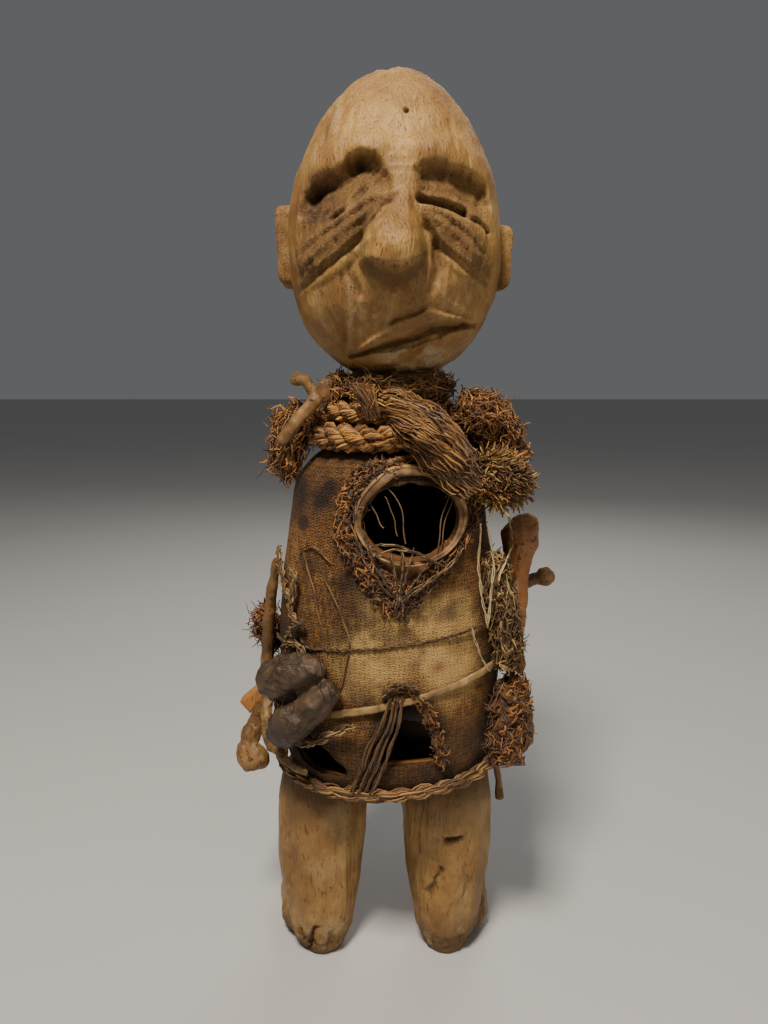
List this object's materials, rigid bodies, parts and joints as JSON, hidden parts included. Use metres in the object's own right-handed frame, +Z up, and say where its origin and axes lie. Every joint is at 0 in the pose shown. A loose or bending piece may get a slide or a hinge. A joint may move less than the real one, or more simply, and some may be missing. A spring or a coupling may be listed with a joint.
{
  "type": "shrine figure",
  "caption": "Kneeling shrine figure: carved wooden head and legs on a hollow calabash trunk wrapped in sackcloth, bound with cane, rope, straw, hide and bones.",
  "frame": {"origin": "middle of the figure's box, on the surface that it stands on", "axes": "+Z up; the face looks along -Y; +X is the viewer's right"},
  "size_m": [0.2704, 0.201, 0.707],
  "materials": {
    "head_wood": "satin",
    "leg_wood": "satin",
    "gourd": "satin",
    "sackcloth": "matte",
    "cane": "matte",
    "twine": "matte",
    "rope": "matte",
    "raffia": "matte",
    "straw": "matte",
    "bone": "matte",
    "stained_bone": "satin",
    "hide": "matte",
    "peg_wood": "matte"
  },
  "bodies": {
    "root": {"head": "head_wood", "leg_left": "leg_wood", "leg_right": "leg_wood", "calabash_body": "gourd", "sackcloth_cover": "sackcloth", "base_hoop": "cane", "window_hoop": "cane", "hoop_splint": "cane", "cross_band": "cane", "belly_cord": "twine", "front_lashing": "twine", "upper_lashing": "twine", "rope_collar_upper": "rope", "rope_collar_lower": "rope", "raffia_hank": "raffia", "straw_ruff": "straw", "straw_brush_right": "straw", "straw_mass_right": "straw", "straw_mass_left": "straw", "straw_side_right": "straw", "hip_mass_right": "straw", "side_tuft_left": "straw", "shoulder_bone_left": "bone", "shoulder_blade_left": "bone", "side_bone_left": "bone", "rear_bone_right": "bone", "hip_bone_left": "bone", "hanging_bone_right": "bone", "arm_bone_right": "stained_bone", "hip_bone_right": "stained_bone", "hide_bundle_left": "hide", "hip_straps_left": "hide", "hip_peg_left": "peg_wood"}
  },
  "joints": []
}
